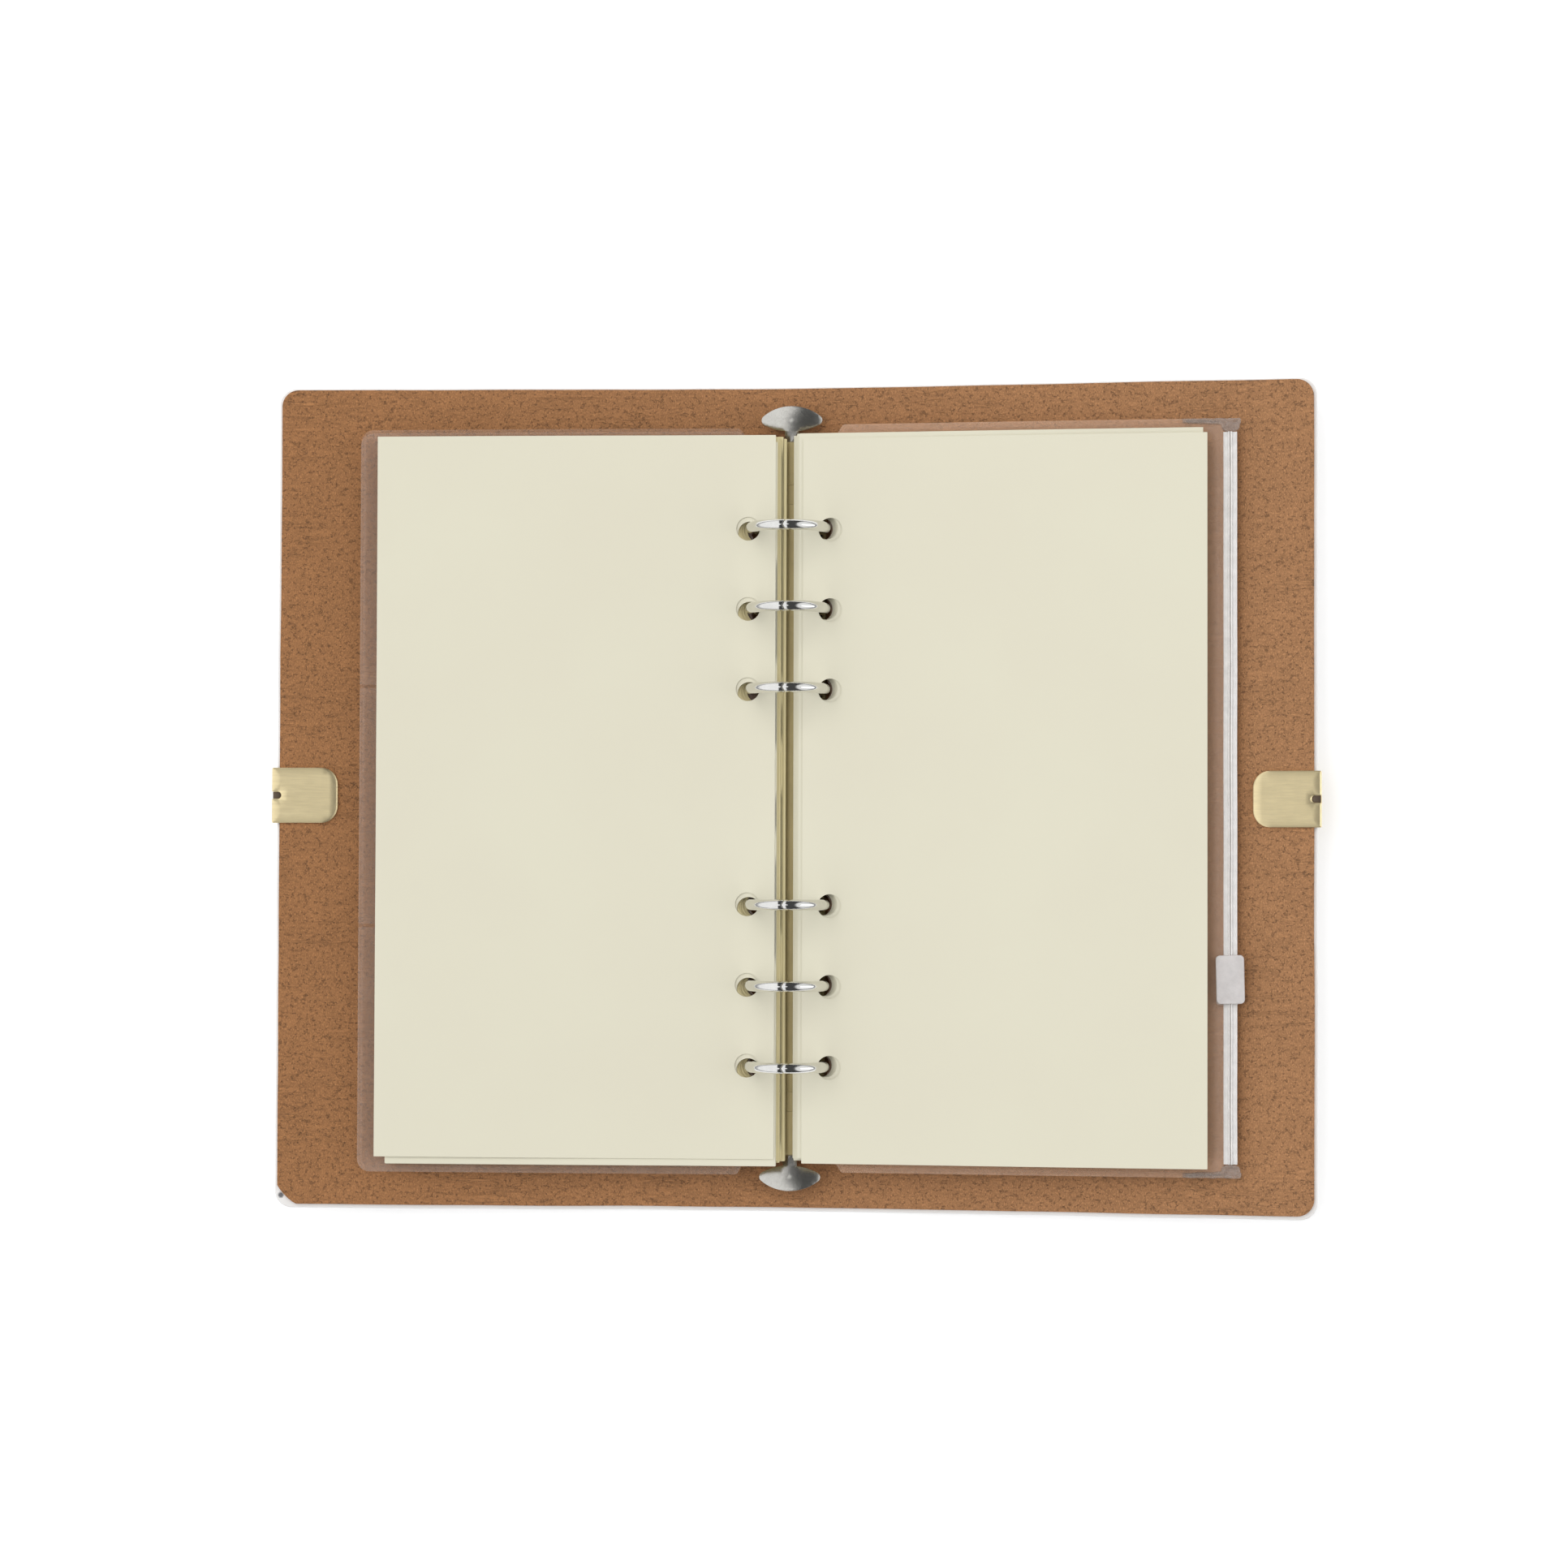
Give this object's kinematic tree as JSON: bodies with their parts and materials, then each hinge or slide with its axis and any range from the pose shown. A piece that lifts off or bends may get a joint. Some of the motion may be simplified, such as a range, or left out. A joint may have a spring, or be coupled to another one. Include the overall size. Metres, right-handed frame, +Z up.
{
  "type": "loose-leaf album",
  "caption": "Open loose-leaf album in a soft two-leaf cover, with a sprung ring mechanism, end levers, punched leaves, a card sheet, a zip pouch and a clasp half on each fore-edge.",
  "frame": {"origin": "centre of the spine's underside, on the table the open album lies on", "axes": "+X from the spine to the right-hand leaf, +Y up the page, +Z up from the table"},
  "size_m": [0.2492, 0.1966, 0.0234],
  "materials": {
    "skin_leather": "matt, fine grain, off-white",
    "lining_leather": "matt, pebbled tan grain",
    "clasp_brass": "brushed antique brass with a polished rim",
    "magnet_steel": "plain",
    "housing_nickel": "polished nickel plate",
    "rivet_nickel": "polished nickel plate",
    "pin_steel": "plain",
    "blade_steel": "plain sheet",
    "ring_nickel": "polished nickel plate",
    "lever_nickel": "satin nickel",
    "paper": "matt cream",
    "card_film": "clear flexible film",
    "pouch_film": "clear flexible film",
    "zip_plastic": "clear ribbed plastic",
    "slider_plastic": "translucent white plastic"
  },
  "bodies": {
    "spine": {"spine_skin": "skin_leather", "spine_lining": "lining_leather", "ring_housing": "housing_nickel", "mounting_rivets": "rivet_nickel", "lever_pins": "pin_steel"},
    "front_cover": {"front_skin": "skin_leather", "front_lining": "lining_leather", "front_clasp": "clasp_brass", "front_clasp_magnet": "magnet_steel"},
    "back_cover": {"back_skin": "skin_leather", "back_lining": "lining_leather", "back_clasp": "clasp_brass", "back_clasp_magnet": "magnet_steel"},
    "left_rings": {"left_blade": "blade_steel", "left_ring_1": "ring_nickel", "left_ring_2": "ring_nickel", "left_ring_3": "ring_nickel", "left_ring_4": "ring_nickel", "left_ring_5": "ring_nickel", "left_ring_6": "ring_nickel"},
    "right_rings": {"right_blade": "blade_steel", "right_ring_1": "ring_nickel", "right_ring_2": "ring_nickel", "right_ring_3": "ring_nickel", "right_ring_4": "ring_nickel", "right_ring_5": "ring_nickel", "right_ring_6": "ring_nickel"},
    "top_lever": {"top_lever": "lever_nickel"},
    "bottom_lever": {"bottom_lever": "lever_nickel"},
    "left_leaves": {"left_top_leaf": "paper", "left_leaves_1": "paper", "left_leaves_2": "paper", "left_leaves_3": "paper", "left_leaves_4": "paper", "left_leaves_5": "paper", "card_sheet": "card_film", "card_pocket_top": "card_film", "card_pocket_middle": "card_film", "card_pocket_bottom": "card_film"},
    "right_leaves": {"right_leaves_1": "paper", "right_leaves_2": "paper", "right_leaves_3": "paper", "right_leaves_4": "paper", "right_leaves_5": "paper", "pouch_back": "pouch_film", "pouch_front": "pouch_film", "zip_rail_back": "zip_plastic", "zip_rail_front": "zip_plastic", "zip_end_welds": "zip_plastic"},
    "turning_leaf": {"turning_leaf": "paper"},
    "zip_slider": {"zip_slider": "slider_plastic"}
  },
  "joints": [
    {"name": "front_cover_fold", "type": "hinge", "parent": "spine", "child": "front_cover", "pos_m": [-0.011, 0, 0.0022], "axis": [0, 1, 0], "range_deg": [0, 86]},
    {"name": "back_cover_fold", "type": "hinge", "parent": "spine", "child": "back_cover", "pos_m": [0.011, 0, 0.0022], "axis": [0, -1, 0], "range_deg": [0, 86]},
    {"name": "left_leaves_turn", "type": "hinge", "parent": "spine", "child": "left_leaves", "pos_m": [0, 0, 0.0134], "axis": [0, 1, 0], "range_deg": [0, 87.6]},
    {"name": "right_leaves_turn", "type": "hinge", "parent": "spine", "child": "right_leaves", "pos_m": [0, 0, 0.0134], "axis": [0, -1, 0], "range_deg": [0, 87.6]},
    {"name": "ring_open", "type": "hinge", "parent": "spine", "child": "left_rings", "pos_m": [-0.0066, 0, 0.0041], "axis": [0, 1, 0], "range_deg": [-12, 0]},
    {"name": "right_ring_open", "type": "hinge", "parent": "spine", "child": "right_rings", "pos_m": [0.0066, 0, 0.0041], "axis": [0, -1, 0], "range_deg": [-12, 0]},
    {"name": "top_lever_press", "type": "hinge", "parent": "spine", "child": "top_lever", "pos_m": [0, 0.0815, 0.0041], "axis": [1, 0, 0], "range_deg": [-18.1, 0]},
    {"name": "bottom_lever_press", "type": "hinge", "parent": "spine", "child": "bottom_lever", "pos_m": [0, -0.0815, 0.0041], "axis": [-1, 0, 0], "range_deg": [-18.1, 0]},
    {"name": "leaf_turn", "type": "hinge", "parent": "right_leaves", "child": "turning_leaf", "pos_m": [0, 0, 0.0134], "axis": [0, 1, 0], "range_deg": [-177, 0]},
    {"name": "zip_slide", "type": "slide", "parent": "right_leaves", "child": "zip_slider", "axis": [0, 1, 0], "range_m": [-0.0367, 0.1215]}
  ],
  "couplings": [
    {"joint": "left_leaves_turn", "follows": "front_cover_fold", "ratio": 1.0174},
    {"joint": "right_leaves_turn", "follows": "back_cover_fold", "ratio": 1.0174},
    {"joint": "right_ring_open", "follows": "ring_open", "ratio": 1},
    {"joint": "top_lever_press", "follows": "ring_open", "ratio": 1.5},
    {"joint": "bottom_lever_press", "follows": "ring_open", "ratio": 1.5}
  ]
}
